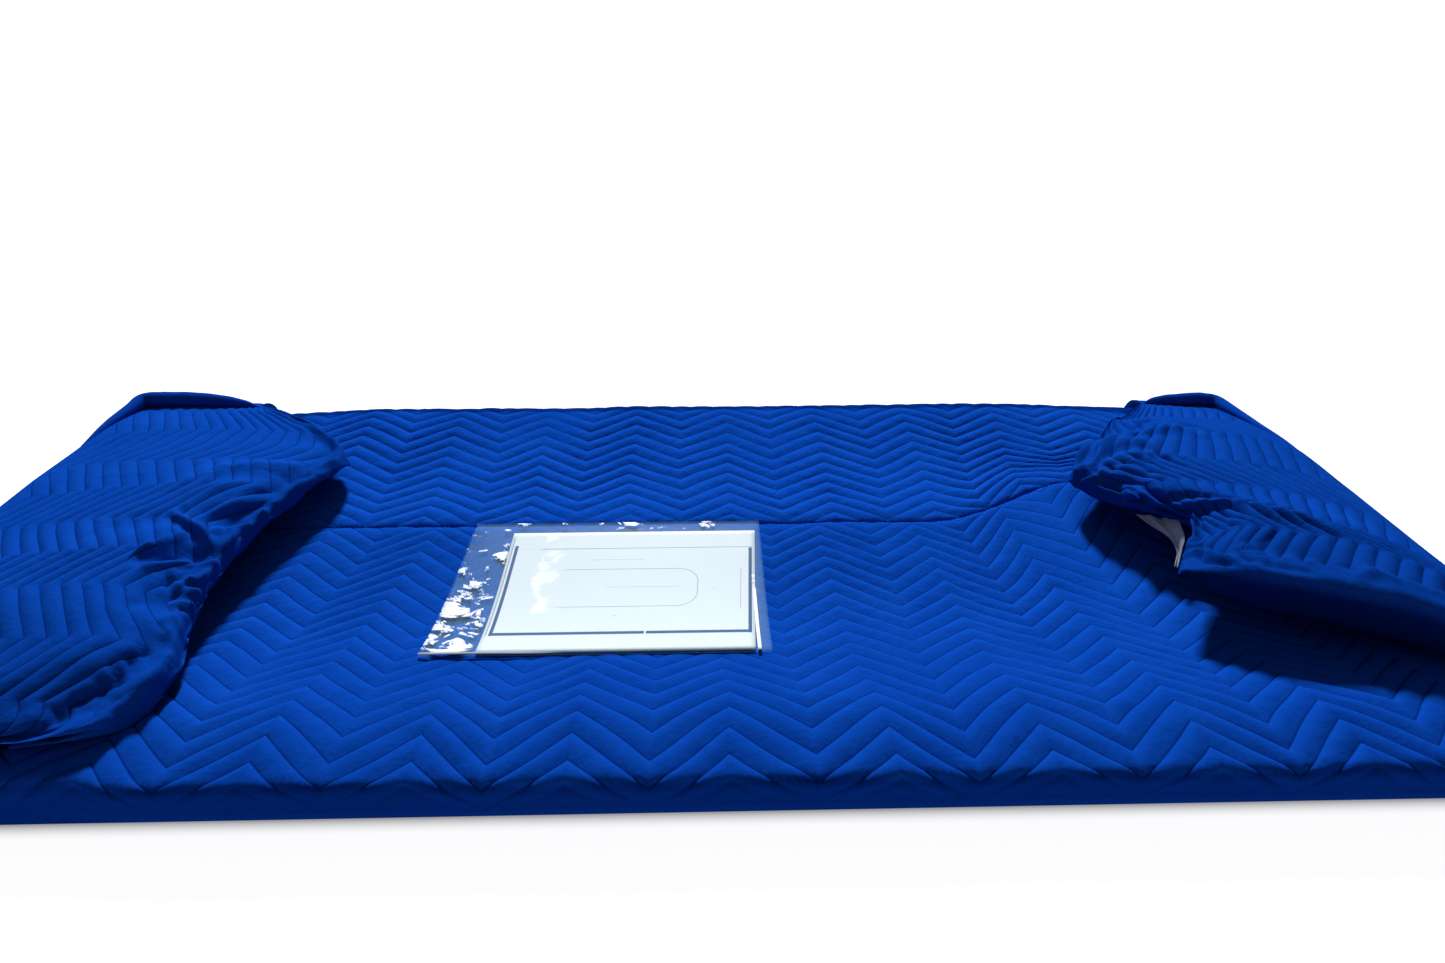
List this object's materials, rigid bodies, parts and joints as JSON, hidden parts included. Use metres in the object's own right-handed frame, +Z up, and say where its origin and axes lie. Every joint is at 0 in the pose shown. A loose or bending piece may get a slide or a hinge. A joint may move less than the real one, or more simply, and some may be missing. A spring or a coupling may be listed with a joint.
{
  "type": "casket cover",
  "caption": "Quilted casket cover lying flat, its skirts rolled under, with elastic end pockets folded up and a clear document pouch.",
  "frame": {"origin": "centre of the bounding box's bottom face, on the surface the cover lies on", "axes": "+X along the cover towards its right pocket in the picture, +Y towards its back edge, +Z up from the surface"},
  "size_m": [1.91, 0.85, 0.1452],
  "materials": {
    "blue_quilted_satin": "quilted satin",
    "blue_binding": "plain woven",
    "grey_lining": "plain woven",
    "clear_film": "clear flexible film",
    "white_card": "matte printed card"
  },
  "bodies": {
    "root": {"panel_front": "blue_quilted_satin", "panel_back": "blue_quilted_satin", "hood_left": "blue_quilted_satin", "hood_right": "blue_quilted_satin", "rim_left": "blue_binding", "rim_right": "blue_binding", "lining_patch": "grey_lining", "pouch_back": "clear_film", "document_card": "white_card", "pouch_front": "clear_film"}
  },
  "joints": []
}
